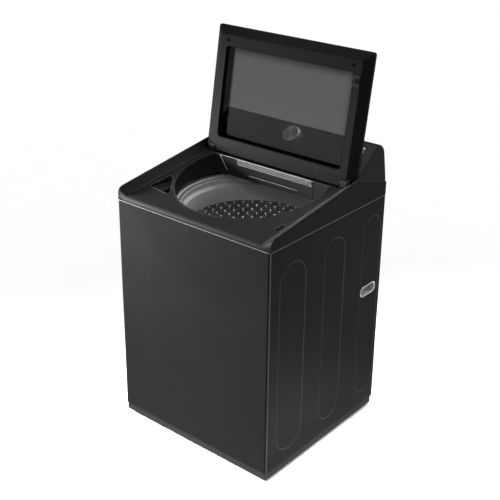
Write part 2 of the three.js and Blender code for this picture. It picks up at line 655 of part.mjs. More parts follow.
function lidFittings() {
  for (const [name, side] of Object.entries(SIDES)) {
    const cover = inLid(hingeCoverOutline(side, GAP), lid.flat - 1.4, lid.flat);
    piece(`lid_hinge_cover_${name}`, cover, lidPlastic, lidGroup);
    const rim = circle(side * lid.bumperX, lid.bumperS, lid.bumperRadius, TINY);
    const bumper = inLid(rim, lid.flat + GAP, lid.flat + 2.2);
    piece(`lid_bumper_${name}`, bumper, rubber, lidGroup);
    const span = mirrored([hinge.earX[0][0], hinge.earX[1][1]], side);
    const pin = sideways(circle(-hinge.n, hinge.s, hinge.pinRadius - 0.2), ...span);
    piece(`hinge_pin_${name}`, pin, steel, lidGroup);
  }
  const [[x0, x1], [s0, s1]] = [latch.tongueX, latch.tongueS];
  const eye = lidRect(x0 - 1, x1 + 1, s0 + 4, s1 - 4, lid.flat + 9, latch.reach - 4);
  const tongue = cut(lidRect(x0, x1, s0, s1, lid.flat + 1, latch.reach), eye);
  const foot = lidRect(...latch.x, ...latch.s, lid.flat + GAP, lid.flat + 2.3);
  piece('lid_latch_hook', join(foot, tongue), blackPlastic, lidGroup);
}

// The fixed blocks that stand in the channel and carry the hinge pins.
function hingeBlocks() {
  const y = lid.edgeY + hinge.s * Math.sin(lid.lean) - hinge.n * Math.cos(lid.lean);
  const z = lid.edgeZ + hinge.s * Math.cos(lid.lean) + hinge.n * Math.sin(lid.lean);
  const r = hinge.blockRadius;
  const outline = [[y - r, channel.floor + GAP], [y + r, channel.floor + GAP], ...arc(y, z, r, 0, 180, 10)];
  const bore = sideways(circle(y, z, hinge.pinRadius + 0.1), -330, 330);
  for (const [name, side] of Object.entries(SIDES)) {
    const body = sideways(outline, ...mirrored(hinge.blockX, side));
    piece(`hinge_block_${name}`, cut(body, bore), blackPlastic);
  }
}

// ---------------------------------------------------------------- washing unit

function outerTub() {
  const { radius: r, wall: w, bottom: z, floor: f, top, lip, hole } = tub;
  const outside = [[hole, z], [r, z], [r, top - lip], [r + lip, top - lip], [r + lip, top]];
  const shell = turned([...outside, [r - w, top], [r - w, z + f], [hole, z + f]]);
  piece('outer_tub', join(shell, ...Object.values(CORNERS).map(([i, j]) => rodLug(i, j))), tubPlastic);
}

// An arm on the tub that rests on a rod's spring.
function rodLug(i, j) {
  const { lugZ: low, lugHeight, lugHalfWidth: half, lugReach } = rod;
  const angle = Math.atan2(j * rod.y, i * rod.x);
  const arm = prism(rectangle(tub.radius - 2, lugReach, -half, half), low, low + lugHeight).rotateZ(angle);
  return cut(solid(arm), drilled(rod.radius + 3, low - 1, low + lugHeight + 1, i * rod.x, j * rod.y));
}

function tubCoverRing() {
  const { ringInner: a, ringTop: t, ringWall: w } = tub;
  const b = tub.radius + tub.lip;
  const low = tub.top + GAP;
  const inside = [[a + w, low], [a + w, t - w], [b - w, t - w], [b - w, low]];
  piece('tub_cover_ring', turned([[a, t], [a, low], ...inside, [b, low], [b, t]]), greyPlastic);
}

function suspension() {
  const { radius: r, top, bottom, capRadius: c, lugZ } = rod;
  const profile = [
    [0, bottom], [c, bottom], [c, spring.bottom - GAP], [r, spring.bottom - GAP], [r, top], [c, top],
    [c, top + 4], [r + 2, top + 9], [0, top + 9],
  ];
  for (const [name, [i, j]] of Object.entries(CORNERS)) {
    piece(`suspension_rod_${name}`, turned(profile, TINY, i * rod.x, j * rod.y), zinc);
    piece(`suspension_spring_${name}`, coil(i * rod.x, j * rod.y, spring.bottom, lugZ - GAP), steel);
  }
}

// A round wire wound in even turns between two heights.
function coil(x, y, low, high) {
  const wire = spring.wire / 2;
  const rise = high - low - 2 * wire;
  class Helix extends THREE.Curve {
    getPoint(t, target = new THREE.Vector3()) {
      const a = 2 * Math.PI * spring.turns * t;
      const [dx, dy] = [spring.radius * Math.cos(a), spring.radius * Math.sin(a)];
      return target.set(x + dx, y + dy, low + wire + rise * t);
    }
  }
  const section = shapeOf(circle(0, 0, wire, 4));
  const options = { steps: spring.turns * 6, extrudePath: new Helix(), bevelEnabled: false };
  return solid(new THREE.ExtrudeGeometry(section, options));
}

function bearings() {
  const { tubeRadius: t, boreRadius: b, housingRadius: h } = drive;
  const under = tub.bottom - GAP;
  const flange = [[34, under - 10], [h, under - 10], [h, under], [38, under]];
  piece('bearing_housing', turned([[b, 150], [34, 150], ...flange, [38, 222], [b, 222]], MIDDLE), zinc);
  const outside = [[b - GAP, 152], [b - GAP, 166], [19, 166], [19, 200], [b - GAP, 200], [b - GAP, 214]];
  piece('bearing_cartridge', turned([[t + 0.2, 152], ...outside, [t + 0.2, 214]], MIDDLE), steel);
  const sealLow = 214 + GAP;
  const seal = [[t + 0.4, sealLow], [b - GAP, sealLow], [b - GAP, 222], [t + 0.4, 221]];
  piece('main_seal', turned(seal, MIDDLE), rubber);
}

// An iron ring with a wound tooth for each pole, hung under the bearing housing.
function stator() {
  const { statorHole: inner, statorRadius: outer, poles } = drive;
  const [low, high] = drive.statorZ;
  const core = turned([[inner, low], [90, low], [90, high], [inner, high]], MIDDLE);
  const tooth = (i) => solid(prism(rectangle(86, outer, -7, 7), low, high).rotateZ((i * 2 * Math.PI) / poles));
  piece('stator', join(core, ...countTo(poles).map(tooth)), copper);
}

function rotor() {
  const { shaftRadius: s, rotorRadius: r } = drive;
  const cup = [[s + GAP, 104], [r, 104], [r, 150], [r - 6, 150], [r - 6, 108]];
  piece('rotor', turned([...cup, [20, 108], [20, 130], [s + GAP, 130]]), darkSteel);
  piece('drive_shaft', turned([[0, 98], [s, 98], [s, 268], [0, 268]], SMALL), steel);
}

function basketHub() {
  const { shaftRadius: s, tubeRadius: t } = drive;
  const top = drum.bottom - GAP;
  const outside = [[t, 146], [t, 224], [40, 226], [120, drum.bottom - 8], [120, top]];
  piece('basket_hub', turned([[s + 0.5, 146], ...outside, [s + 0.5, top]], MIDDLE), zinc);
}

function basketUnit() {
  const { radius: r, wall: w, bottom: z, ringBottom, ringTop } = drum;
  const top = ringBottom - GAP;
  const outside = [[22, z], [r - 30, z], [r, z + 24], [r, top]];
  const inside = [[r - w, top], [r - w, z + 25], [r - 31, z + w], [22, z + w]];
  piece('basket', turned([...outside, ...inside]), steel);
  const ringProfile = [
    [drum.ringLowRadius, ringBottom], [r, ringBottom], [r, ringTop - 4], [drum.ringTopRadius, ringTop],
    [drum.ringStepRadius + 2, drum.ringStepZ + 2], [drum.ringStepRadius, drum.ringStepZ],
  ];
  piece('balance_ring', turned(ringProfile), greyPlastic);
}

// Low wash plate with raised fins, on the drive shaft.
function washPlate() {
  const { radius: r, bottom, rim, hub, fins } = plate;
  const bore = drive.shaftRadius + 0.5;
  const outside = [[bore, bottom], [r - 10, bottom], [r, bottom + 6], [r, rim], [r - 8, rim]];
  const dish = turned([...outside, [70, bottom + 10], [46, hub - 8], [bore, hub - 8]]);
  const fin = [[40, bottom + 4], [r - 14, bottom + 4], [r - 14, rim + 6], [70, hub - 14], [40, hub - 12]];
  const blade = (i) => solid(prism(fin, -9, 9).applyMatrix4(TO_FRONT).rotateZ((i * 2 * Math.PI) / fins));
  piece('impeller', join(dish, ...countTo(fins).map(blade)), greyPlastic);
  const capLow = hub - 8 + GAP;
  const cap = [[0, capLow], [40, capLow], [36, hub], [14, hub + 6], [0, hub + 7]];
  piece('impeller_cap', turned(cap, MIDDLE), paleGrey);
}

// The pump hangs under the tub floor.
function drainPump() {
  const { x, y, top, bottom, radius, inletRadius, motorRadius, motorBottom } = pump;
  const body = drilled(radius, bottom, top, x, y, MIDDLE);
  const inletTube = drilled(inletRadius, top - 7, tub.bottom - GAP, x, y, SMALL);
  const motor = drilled(motorRadius, motorBottom, bottom + 1, x, y, SMALL);
  piece('drain_pump', join(body, inletTube, motor), blackPlastic);
}

// ---------------------------------------------------------------- assembly

baseFrame();
feet();
cabinetWrap();
rearPanel();
rearPort('drain_outlet', drain, blackPlastic);
rearPort('power_cord_gland', gland, rubber);
sideGrips();
topCover();
basinCollar();
inletHousing();
dispenserWell();
lidLock();
hingeBlocks();
consoleHousing();
controls();
waterValves();
lidFrame();
lidInnerFrame();
lidFittings();
outerTub();
tubCoverRing();
suspension();
bearings();
stator();
rotor();
basketHub();
basketUnit();
washPlate();
drainPump();

export default machine;
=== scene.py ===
import json
import math

import bmesh
import bpy
from mathutils import Matrix, Vector
from mathutils.geometry import delaunay_2d_cdt


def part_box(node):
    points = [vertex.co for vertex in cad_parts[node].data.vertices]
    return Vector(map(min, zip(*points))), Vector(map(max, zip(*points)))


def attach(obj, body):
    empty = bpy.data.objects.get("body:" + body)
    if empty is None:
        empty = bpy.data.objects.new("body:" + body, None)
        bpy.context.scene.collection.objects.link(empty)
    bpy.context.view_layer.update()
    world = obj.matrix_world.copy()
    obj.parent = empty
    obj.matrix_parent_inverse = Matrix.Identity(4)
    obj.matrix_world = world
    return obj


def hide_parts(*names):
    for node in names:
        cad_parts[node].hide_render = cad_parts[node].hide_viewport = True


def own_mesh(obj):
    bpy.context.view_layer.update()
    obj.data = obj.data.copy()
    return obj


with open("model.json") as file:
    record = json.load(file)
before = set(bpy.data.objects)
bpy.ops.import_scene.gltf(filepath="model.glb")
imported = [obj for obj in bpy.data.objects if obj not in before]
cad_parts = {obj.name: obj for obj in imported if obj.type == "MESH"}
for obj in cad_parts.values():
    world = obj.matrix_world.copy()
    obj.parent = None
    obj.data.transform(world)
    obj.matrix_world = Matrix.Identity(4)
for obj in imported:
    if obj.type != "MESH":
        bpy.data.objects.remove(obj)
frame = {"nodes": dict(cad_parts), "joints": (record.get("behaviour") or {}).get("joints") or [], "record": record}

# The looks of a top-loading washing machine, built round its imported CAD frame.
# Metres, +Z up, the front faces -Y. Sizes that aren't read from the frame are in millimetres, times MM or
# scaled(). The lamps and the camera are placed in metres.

MM = 0.001
TURN = 2 * math.pi
UP = Vector((0, 0, 1))
BACKWARDS = (0, 1, 0)
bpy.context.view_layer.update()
RECORD = frame["record"]
SLOT_OF = {row["node"]: row["material_slot"] for row in RECORD["subparts"]}
BODY_OF = {node: body for body, nodes in RECORD["behaviour"]["bodies"].items() for node in nodes}
SIDES = {"left": -1, "right": 1}
CORNERS = ("front_left", "front_right", "rear_left", "rear_right")

# The name of the face value that says how much painted highlight a face gets, from 0 to 1, and its size on
# pressed slopes and on bends.
PAINTED_HIGHLIGHT = "edge"
SLOPE_HIGHLIGHT, BEND_HIGHLIGHT = 0.24, 0.45

# ---------------------------------------------------------------- materials

BROAD_NOISE = 7.0
NOISE_SUM = {"From Min": 0.7, "From Max": 1.3}
GLOSS_SPREAD = 0.12


def add(tree, kind, inputs=(), **settings):
    """A shader node; its inputs are values or other nodes' output sockets."""
    node = tree.nodes.new("ShaderNode" + kind)
    for key, value in settings.items():
        setattr(node, key, value)
    for key, value in dict(inputs).items():
        if isinstance(value, bpy.types.NodeSocket):
            tree.links.new(value, node.inputs[key])
        else:
            node.inputs[key].default_value = value
    return node


def calculated(tree, operation, *values):
    """The output of a Math node."""
    return add(tree, "Math", enumerate(values), operation=operation).outputs[0]


def grey(level, warmth=0.0):
    """A grey of that level, a little warm (above 0) or cool (below 0)."""
    return (level * (1 + warmth), level, level * (1 - warmth), 1)


def empty_material(name):
    """A new material, its node tree and its shader."""
    made = bpy.data.materials.new(name)
    made.use_nodes = True
    return made, made.node_tree, made.node_tree.nodes["Principled BSDF"]


def surface(name, colour, roughness, metallic=0.0, specular=0.5, grain=900, relief=0.2, depth=0.06,
            mottling=0.1, stretch=(1, 1, 1), edge=None):
    """An opaque surface with uneven tone and gloss, a fine grain, and a painted highlight of lighter grey on
    marked edges.

    The grain's bump has a strength (relief) and a height in millimetres (depth). Mottling is how far the tone
    strays. A stretch below 1 draws the noise out along its axis, and one above 1 squeezes it. Edge is the
    level of the grey painted on marked faces as a highlight.
    worn grey's level.
    """
    made, tree, shader = empty_material(name)
    place = add(tree, "TexCoord").outputs["Object"]
    place = add(tree, "Mapping", {"Vector": place, "Scale": stretch}).outputs["Vector"]
    broad = add(tree, "TexNoise", {"Vector": place, "Scale": BROAD_NOISE, "Detail": 4.0}).outputs["Fac"]
    small = add(tree, "TexNoise", {"Vector": place, "Scale": grain, "Detail": 2.0}).outputs["Fac"]
    both = calculated(tree, "ADD", broad, small)
    tone = add(tree, "MapRange", {"Value": both, **NOISE_SUM, "To Min": 1 - mottling, "To Max": 1 + mottling})
    tint = add(tree, "HueSaturation", {"Color": colour, "Value": tone.outputs[0]}).outputs[0]
    dullest, glossiest = roughness * (1 + GLOSS_SPREAD), roughness * (1 - GLOSS_SPREAD)
    gloss = add(tree, "MapRange", {"Value": both, **NOISE_SUM, "To Min": glossiest, "To Max": dullest})
    bump = add(tree, "Bump", {"Height": small, "Strength": relief, "Distance": depth * MM})
    # Marked faces get a lighter grey: a painted highlight on rounded edges, bends and pressed slopes.
    if edge is not None:
        highlight_share = add(tree, "Attribute", attribute_name=PAINTED_HIGHLIGHT).outputs["Fac"]
        mixed = add(tree, "Mix", {"Factor": highlight_share, "A": tint, "B": grey(edge)}, data_type="RGBA")
        tint = mixed.outputs["Result"]
    tree.links.new(tint, shader.inputs["Base Color"])
    tree.links.new(gloss.outputs[0], shader.inputs["Roughness"])
    tree.links.new(bump.outputs[0], shader.inputs["Normal"])
    shader.inputs["Metallic"].default_value = metallic
    shader.inputs["Specular IOR Level"].default_value = specular
    return made


def turned_metal(name, colour, roughness):
    """Metal with fine lines round the Z axis, as a lathe leaves them; their bump takes the grain's place."""
    density, relief, height, anisotropy = 2600.0, 0.25, 0.05 * MM, 0.85
    made = surface(name, colour, roughness, metallic=1.0, grain=260, mottling=0.08)
    tree = made.node_tree
    shader = tree.nodes["Principled BSDF"]
    split = add(tree, "SeparateXYZ", {"Vector": add(tree, "TexCoord").outputs["Object"]})
    squares = [calculated(tree, "MULTIPLY", split.outputs[c], split.outputs[c]) for c in "XY"]
    radius = calculated(tree, "SQRT", calculated(tree, "ADD", *squares))
    lines = add(tree, "TexNoise", {"W": radius, "Scale": density, "Detail": 1.0}, noise_dimensions="1D")
    bump = add(tree, "Bump", {"Height": lines.outputs["Fac"], "Strength": relief, "Distance": height})
    tangent = add(tree, "Tangent", direction_type="RADIAL", axis="Z")
    tree.links.new(bump.outputs[0], shader.inputs["Normal"])
    tree.links.new(tangent.outputs[0], shader.inputs["Tangent"])
    shader.inputs["Anisotropic"].default_value = anisotropy
    return made


def smoked_glass():
    """The lid's glass: a see-through field that fades to a nearly black border."""
    low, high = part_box("lid_glass")
    # Each side's axis, the middle and half the width of its fade, and which way the see-through field lies.
    fades = (
        ("X", -256 * MM, 9 * MM, 1),
        ("X", 258 * MM, 21 * MM, -1),
        ("Z", low.z + 41 * MM, 6 * MM, 1),
        ("Z", high.z - 77 * MM, 20 * MM, -1),
    )
    border, field = (0.012, 0.012, 0.013, 1), (0.083, 0.084, 0.087, 1)
    made, tree, shader = empty_material("smoked_glass")
    split = add(tree, "SeparateXYZ", {"Vector": add(tree, "TexCoord").outputs["Object"]})
    inside = None
    for axis, middle, half, inward in fades:
        ends = {"From Min": middle - inward * half, "From Max": middle + inward * half}
        step = add(tree, "MapRange", {"Value": split.outputs[axis], **ends}, interpolation_type="SMOOTHSTEP")
        step = step.outputs[0]
        inside = step if inside is None else calculated(tree, "MULTIPLY", inside, step)
    tint = add(tree, "Mix", {"Factor": inside, "A": border, "B": field}, data_type="RGBA")
    haze = add(tree, "TexNoise", {"Scale": 5.0, "Detail": 2.0}).outputs["Fac"]
    gloss = add(tree, "MapRange", {"Value": haze, "To Min": 0.02, "To Max": 0.06})
    tree.links.new(tint.outputs["Result"], shader.inputs["Base Color"])
    tree.links.new(gloss.outputs[0], shader.inputs["Roughness"])
    shader.inputs["Transmission Weight"].default_value = 1.0
    shader.inputs["IOR"].default_value = 1.36
    return made


# Per slot: colour, roughness, metallic, specular, grain, relief, depth, mottling, and then stretch and edge, the
# grey of the painted highlight.
FINISHES = {
    "graphite_paint": (grey(0.0044, -0.01), 0.44, 0.0, 0.02, 1500, 0.12, 0.04, 0.07, (1, 1, 1), 0.085),
    "deck_plastic": (grey(0.0046, -0.01), 0.5, 0.0, 0.02, 1400, 0.3, 0.05, 0.08, (1, 1, 1), 0.075),
    "black_plastic": (grey(0.0065, -0.01), 0.45, 0.0, 0.02, 1400, 0.3, 0.05, 0.1, (1, 1, 1), 0.035),
    "lid_plastic": (grey(0.0031, -0.01), 0.46, 0.0, 0.01, 1400, 0.3, 0.05, 0.08, (1, 1, 1), 0.02),
    "grey_plastic": (grey(0.22, -0.01), 0.42, 0.0, 0.25, 1300, 0.25, 0.05, 0.08),
    "pale_grey": (grey(0.3, -0.01), 0.45, 0.0, 0.3, 1300, 0.25, 0.05, 0.06),
    "fascia_gloss": (grey(0.016, -0.02), 0.24, 0.0, 0.1, 1800, 0.06, 0.02, 0.06),
    "drum_steel": (grey(0.55, -0.01), 0.13, 1.0, 0.5, 420, 0.1, 0.03, 0.08, (1, 1, 0.08)),
    "bright_steel": (grey(0.5), 0.28, 1.0, 0.5, 700, 0.15, 0.03, 0.1, (1, 1, 0.1)),
    "zinc_plate": (grey(0.27, -0.02), 0.42, 0.9, 0.5, 60, 0.06, 0.05, 0.1),
    "dark_steel": (grey(0.006, -0.02), 0.5, 0.0, 0.08, 900, 0.25, 0.05, 0.12),
    "rubber": (grey(0.0008), 0.7, 0.0, 0.01, 700, 0.5, 0.1, 0.2),
    "copper": ((0.36, 0.13, 0.06, 1), 0.4, 0.8, 0.5, 500, 0.5, 0.2, 0.25, (1, 1, 6)),
    "board_green": ((0.012, 0.075, 0.035, 1), 0.35, 0.0, 0.5, 300, 0.3, 0.1, 0.25),
    "tub_plastic": (grey(0.52, -0.01), 0.5, 0.0, 0.4, 900, 0.3, 0.1, 0.06),
}
MATERIALS = {slot: surface(slot, *finish) for slot, finish in FINISHES.items()}
MATERIALS["brushed_knob"] = turned_metal("brushed_knob", grey(0.85, -0.01), 0.28)
MATERIALS["tinted_glass"] = smoked_glass()

# ---------------------------------------------------------------- pieces


def piece(name, bm, slot, body, replaced=(), smooth=32, place=Matrix()):
    """Makes the mesh a piece of the model, smooth except where it turns by more than an angle in degrees."""
    mesh = bpy.data.meshes.new(name)
    bm.to_mesh(mesh)
    bm.free()
    mesh.shade_smooth()
    mesh.set_sharp_from_angle(angle=math.radians(smooth))
    mesh.materials.append(MATERIALS[slot])
    made = bpy.data.objects.new(name, mesh)
    bpy.context.scene.collection.objects.link(made)
    made.modifiers.new("normals", "WEIGHTED_NORMAL").keep_sharp = True
    made.matrix_world = place
    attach(made, body)
    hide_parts(*replaced)
    return made


def stand_in(node, bm, smooth=32):
    """The fine surface that stands for a CAD node."""
    return piece(node + "_surface", bm, SLOT_OF[node], BODY_OF[node], (node,), smooth)


def trim(name, bm, node, slot, smooth=32):
    """A small extra piece that goes with a CAD node."""
    return piece(name, bm, slot, BODY_OF[node], (), smooth)


def stand_ins(widths):
    """Stand-ins with the CAD nodes' own shapes, their edges rounded by a width in millimetres."""
    for node, width in widths.items():
        stand_in(node, fine(node, width * MM))


def solidified(made, thickness, offset=-1):
    """Gives a skin its sheet thickness: inwards, or to both sides with an offset of 0."""
    sheet = made.modifiers.new("sheet", "SOLIDIFY")
    sheet.thickness = thickness
    sheet.offset = offset
    made.modifiers.move(len(made.modifiers) - 1, 0)


# ---------------------------------------------------------------- mesh helpers


def moved(bm, matrix):
    """The mesh, moved and turned."""
    bmesh.ops.transform(bm, matrix=matrix, verts=bm.verts)
    return bm


def along(axis, at):
    """Turns a mesh made about +Z to point along an axis at a place."""
    return Matrix.Translation(at) @ UP.rotation_difference(Vector(axis)).to_matrix().to_4x4()


def merged(*meshes):
    """One mesh with all the others' faces in it."""
    whole = meshes[0]
    for other in meshes[1:]:
        copy = bpy.data.meshes.new("part")
        other.to_mesh(copy)
        other.free()
        whole.from_mesh(copy)
        bpy.data.meshes.remove(copy)
    return whole


def recalculated(bm):
    """The mesh, with its faces turned to look out."""
    bmesh.ops.recalc_face_normals(bm, faces=bm.faces)
    return bm


def facing(bm, direction):
    """The skin, turned so that the face that lies furthest along the direction looks that way."""
    recalculated(bm)
    direction = Vector(direction)
    facing_share = 0.01

    def reach(face):
        return face.calc_center_median().dot(direction) + facing_share * abs(face.normal.dot(direction))

    if max(bm.faces, key=reach).normal.dot(direction) < 0:
        bmesh.ops.reverse_faces(bm, faces=bm.faces)
    return bm


def highlight_layer(bm):
    """The face value that the materials read as a painted highlight."""
    return bm.faces.layers.float.get(PAINTED_HIGHLIGHT) or bm.faces.layers.float.new(PAINTED_HIGHLIGHT)


def bevelled(bm, edges, width, segments):
    """Rounds the edges, and returns the faces that this makes."""
    made = bmesh.ops.bevel(bm, geom=edges, offset=width, offset_type="OFFSET", segments=segments, profile=0.5,
                           affect="EDGES", clamp_overlap=True)
    return made["faces"]


def turns_by(edge, angle):
    """Whether two faces meet at the edge and turn there by more than the angle, in degrees."""
    return len(edge.link_faces) == 2 and edge.calc_face_angle() > math.radians(angle)


def soften(bm, width, segments=2, angle=30):
    """Rounds every edge that turns by more than the angle, and marks the rounding for a painted highlight."""
    recalculated(bm)
    layer = highlight_layer(bm)
    for face in bevelled(bm, [e for e in bm.edges if turns_by(e, angle)], width, segments):
        face[layer] = 1.0
    return bm


def flat_faces_joined(bm):
    """The mesh, with neighbouring faces made one wherever they are level."""
    level = math.radians(0.5)
    bmesh.ops.dissolve_limit(bm, angle_limit=level, verts=bm.verts, edges=bm.edges)
    return bm


def cad_mesh(node):
    """A copy of a CAD node's mesh, as few flat faces."""
    bm = bmesh.new()
    bm.from_mesh(frame["nodes"][node].data)
    bmesh.ops.remove_doubles(bm, verts=bm.verts, dist=0.01 * MM)
    return flat_faces_joined(bm)


def fine(node, width, segments=2):
    """A copy of a CAD node's mesh with rounded edges."""
    return soften(cad_mesh(node), width, segments)


def bridge(bm, rings, closed=False):
    """Faces between rings of as many vertices each; closed joins the last ring to the first."""
    faces = []
    for one, two in zip(rings, rings[1:] + (rings[:1] if closed else [])):
        for i in range(len(one)):
            j = (i + 1) % len(one)
            faces.append(bm.faces.new((one[i], one[j], two[j], two[i])))
    return faces


def level_ring(bm, radius, z, count, lift=lambda angle: 0.0):
    """A ring of vertices about the Z axis, at z and what the lift adds at each angle."""
    angles = [TURN * i / count for i in range(count)]
    return [bm.verts.new((radius * math.cos(a), radius * math.sin(a), z + lift(a))) for a in angles]


def wire_ring(bm, at, side, up, radius, count):
    """A ring of vertices round a point of a wire, in the plane of two directions."""
    angles = [TURN * k / count for k in range(count)]
    return [bm.verts.new(at + radius * (math.cos(a) * side + math.sin(a) * up)) for a in angles]


def lathe(profile, turns, centre=(0, 0)):
    """Turns a closed (radius, z) profile about an upright axis."""
    on_axis = 0.001 * MM
    bm = bmesh.new()
    rings = []
    for r, z in profile:
        count = turns if r > on_axis else 1
        angles = [TURN * i / count for i in range(count)]
        rings.append([
            bm.verts.new((centre[0] + r * math.cos(a), centre[1] + r * math.sin(a), z)) for a in angles])
    for ring, following in zip(rings, rings[1:] + rings[:1]):
        for i in range(turns):
            j = (i + 1) % turns
            corners = [ring[i % len(ring)], ring[j % len(ring)],
                       following[j % len(following)], following[i % len(following)]]
            corners = list(dict.fromkeys(corners))
            if len(corners) > 2:
                bm.faces.new(corners)
    return bm


def plate(outline, low, high, holes=()):
    """A flat plate between two heights, with holes."""
    corners, triangles, _ = triangulated([outline], list(holes))
    bm = bmesh.new()
    bottom = [bm.verts.new((c.x, c.y, low)) for c in corners]
    for t in triangles:
        bm.faces.new([bottom[i] for i in t])
    grown = bmesh.ops.extrude_face_region(bm, geom=list(bm.faces))
    top = [g for g in grown["geom"] if isinstance(g, bmesh.types.BMVert)]
    bmesh.ops.translate(bm, verts=top, vec=(0, 0, high - low))
    return recalculated(flat_faces_joined(bm))


def pressed_sheet(outline, rings, holes, place, hole_depth=0.0):
    """A thin skin with pressed lines: rings are (points, depth), and place(u, v, depth) gives the point."""
    corners, triangles, owners = triangulated([outline] + [points for points, _ in rings], holes)
    depths = [0.0] + [depth for _, depth in rings] + [hole_depth] * len(holes)
    bm = bmesh.new()
    layer = highlight_layer(bm)
    verts = [bm.verts.new(place(c.x, c.y, depths[owner])) for c, owner in zip(corners, owners)]
    # Faces on the pressed slopes get a painted highlight.
    for t in triangles:
        sloping = len({depths[owners[i]] for i in t}) > 1
        bm.faces.new([verts[i] for i in t])[layer] = SLOPE_HIGHLIGHT if sloping else 0.0
    return bm


def triangulated(loops, holes):
    """Triangles between loops of points: their corners, the triangles, and each corner's loop by number.

    The first loop is the outline, and the holes' numbers follow the loops'.
    """
    inside_outline, tolerance = 1, 1e-8
    points, edges, owner = [], [], []
    for k, loop in enumerate(loops + holes):
        first, count = len(points), len(loop)
        points += [Vector(p) for p in loop]
        edges += [(first + i, first + (i + 1) % count) for i in range(count)]
        owner += [k] * count
    corners, _, triangles, sources, _, _ = delaunay_2d_cdt(points, edges, [], inside_outline, tolerance)
    owners = [owner[source[0]] for source in sources]

    def in_hole(triangle):
        return owners[triangle[0]] >= len(loops) and len({owners[i] for i in triangle}) == 1

    return corners, [t for t in triangles if not in_hole(t)], owners


# ---------------------------------------------------------------- outlines


def scaled(values):
    """Points given in millimetres, in metres."""
    return [(a * MM, b * MM) for a, b in values]


def rectangle(x0, x1, y0, y1):
    return [(x0, y0), (x1, y0), (x1, y1), (x0, y1)]


def rounded_rectangle(x0, x1, y0, y1, radius, steps=6):
    """A rectangle with circular corners of so many steps each."""
    points = []
    corners = ((x1, y0, -90), (x1, y1, 0), (x0, y1, 90), (x0, y0, 180))
    for x, y, start in corners:
        cx = x - math.copysign(radius, x - (x0 + x1) / 2)
        cy = y - math.copysign(radius, y - (y0 + y1) / 2)
        for i in range(steps + 1):
            a = math.radians(start + 90 * i / steps)
            points.append((cx + radius * math.cos(a), cy + radius * math.sin(a)))
    return points


def stadium(x0, x1, y0, y1, inset):
    """An upright oblong with half-round ends, which stop just short of meeting so that no points coincide."""
    radius = ((x1 - x0) / 2 - inset) * 0.999
    return rounded_rectangle(x0 + inset, x1 - inset, y0 + inset, y1 - inset, radius, 12)


def circle(x, y, radius, steps):
    angles = [TURN * i / steps for i in range(steps)]
    return [(x + radius * math.cos(a), y + radius * math.sin(a)) for a in angles]


def bend(x, y, radius, start, steps):
    """A quarter turn about (x, y) from an angle in degrees, as points with their outward directions."""
    angles = [math.radians(start + 90 * i / steps) for i in range(steps + 1)]
    directions = [(math.cos(a), math.sin(a)) for a in angles]
    return [((x + radius * u, y + radius * v), (u, v)) for u, v in directions]


# ---------------------------------------------------------------- cabinet


def upright_band(path, bottom, top):
    """Sheet that stands along a path of bends, with a painted highlight in the middle of each bend."""
    bm = bmesh.new()
    layer = highlight_layer(bm)
    edges = [(bm.verts.new((*point, bottom)), bm.verts.new((*point, top))) for point, _ in path]
    for (a, b), (c, d), (_, outward) in zip(edges, edges[1:], path):
        bm.faces.new((a, c, d, b))[layer] = BEND_HIGHLIGHT if 0.6 < abs(outward[0]) < 0.9 else 0.0
    return bm


def rolled_edge(path, bottom, radius):
    """The sheet's top edge, rolled inwards, with a painted highlight."""
    steps = 5
    bm = bmesh.new()
    layer = highlight_layer(bm)
    rows = []
    for k in range(steps + 1):
        a = TURN / 4 * k / steps
        inset, z = radius * (1 - math.cos(a)), bottom + radius * math.sin(a)
        rows.append([bm.verts.new((p[0] - out[0] * inset, p[1] - out[1] * inset, z)) for p, out in path])
    for face in bridge(bm, rows):
        face[layer] = 1.0
    return bm


def cabinet_skin():
    """The folded sheet: front, sides with pressed fields and a grip hole, rear returns, and a rolled edge."""
    low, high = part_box("cabinet_wrap")
    grip_low, grip_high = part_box("side_grip_right")
    front_bend, back_bend, roll, sheet = 10 * MM, 2 * MM, 1.5 * MM, 1.4 * MM
    flange, brace_height, grip_corner = 20 * MM, 32 * MM, 20 * MM
    fields = ((-275, -133, 87, 811), (-30, 90, 92, 816), (198, 312, 99, 823))
    slope, depth = 3.4 * MM, 1.3 * MM
    top = high.z - roll

    left_rear = [((low.x + flange, high.y), (0, 1))]
    left_rear += bend(low.x + back_bend, high.y - back_bend, back_bend, 90, 3)
    front = bend(low.x + front_bend, low.y + front_bend, front_bend, 180, 10)
    front += bend(high.x - front_bend, low.y + front_bend, front_bend, 270, 10)
    right_rear = bend(high.x - back_bend, high.y - back_bend, back_bend, 0, 3)
    right_rear += [((high.x - flange, high.y), (0, 1))]
    parts = [upright_band(path, low.z, top) for path in (left_rear, front, right_rear)]
    parts.append(rolled_edge(left_rear + front + right_rear, top, roll))

    brace = bmesh.new()
    strip = rectangle(low.x + flange, high.x - flange, high.z - brace_height, top)
    brace.faces.new([brace.verts.new((x, high.y, z)) for x, z in strip])
    parts.append(brace)

    outline = rectangle(low.y + front_bend, high.y - back_bend, low.z, top)
    hole = rounded_rectangle(grip_low.y, grip_high.y, grip_low.z, grip_high.z, grip_corner, 8)
    rings = []
    for field in fields:
        box = [value * MM for value in field]
        rings += [(stadium(*box, share * slope), share * depth) for share in (0, 0.5, 1)]
    for side in SIDES.values():
        wall = pressed_sheet(outline, rings, [hole], lambda y, z, d: (side * (high.x - d), y, z), depth)
        parts.append(wall)

    whole = merged(*parts)
    bmesh.ops.remove_doubles(whole, verts=whole.verts, dist=0.02 * MM)
    solidified(stand_in("cabinet_wrap", facing(whole, (0, -1, 0))), sheet)


